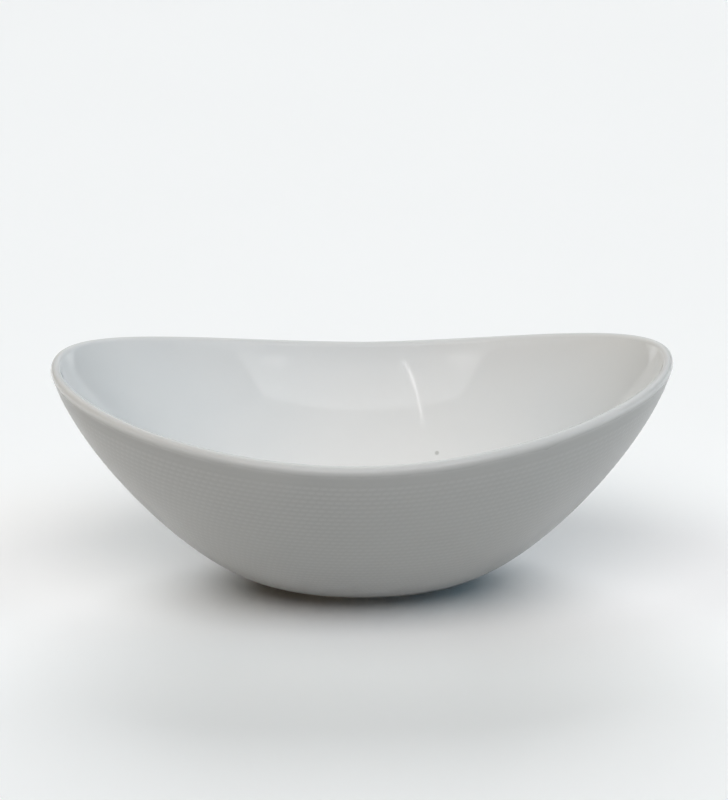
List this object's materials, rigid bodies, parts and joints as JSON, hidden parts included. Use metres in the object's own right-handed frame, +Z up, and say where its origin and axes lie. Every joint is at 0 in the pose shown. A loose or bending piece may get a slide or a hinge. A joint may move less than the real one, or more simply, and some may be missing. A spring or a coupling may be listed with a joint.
{
  "type": "serving bowl",
  "caption": "Oval boat-shaped porcelain serving bowl with a dipped rim, rolled lip, fine ribbed satin outside, glossy inside and low unglazed foot ring.",
  "frame": {"origin": "centre of the foot, on the surface the bowl stands on", "axes": "+X along the length towards one raised end, +Y across the width, +Z up out of the bowl"},
  "size_m": [0.2988, 0.1998, 0.1108],
  "materials": {
    "gloss_glaze": "smooth gloss white glaze",
    "satin_glaze": "satin white glaze over a fine embossed dash pattern",
    "porcelain": "fired white porcelain",
    "bare_porcelain": "unglazed ground porcelain, matt"
  },
  "bodies": {
    "root": {"foot_ring": "bare_porcelain", "base_floor": "porcelain", "side_wall": "porcelain", "rim_lip": "gloss_glaze", "inner_glaze": "gloss_glaze", "outer_glaze": "satin_glaze"}
  },
  "joints": []
}
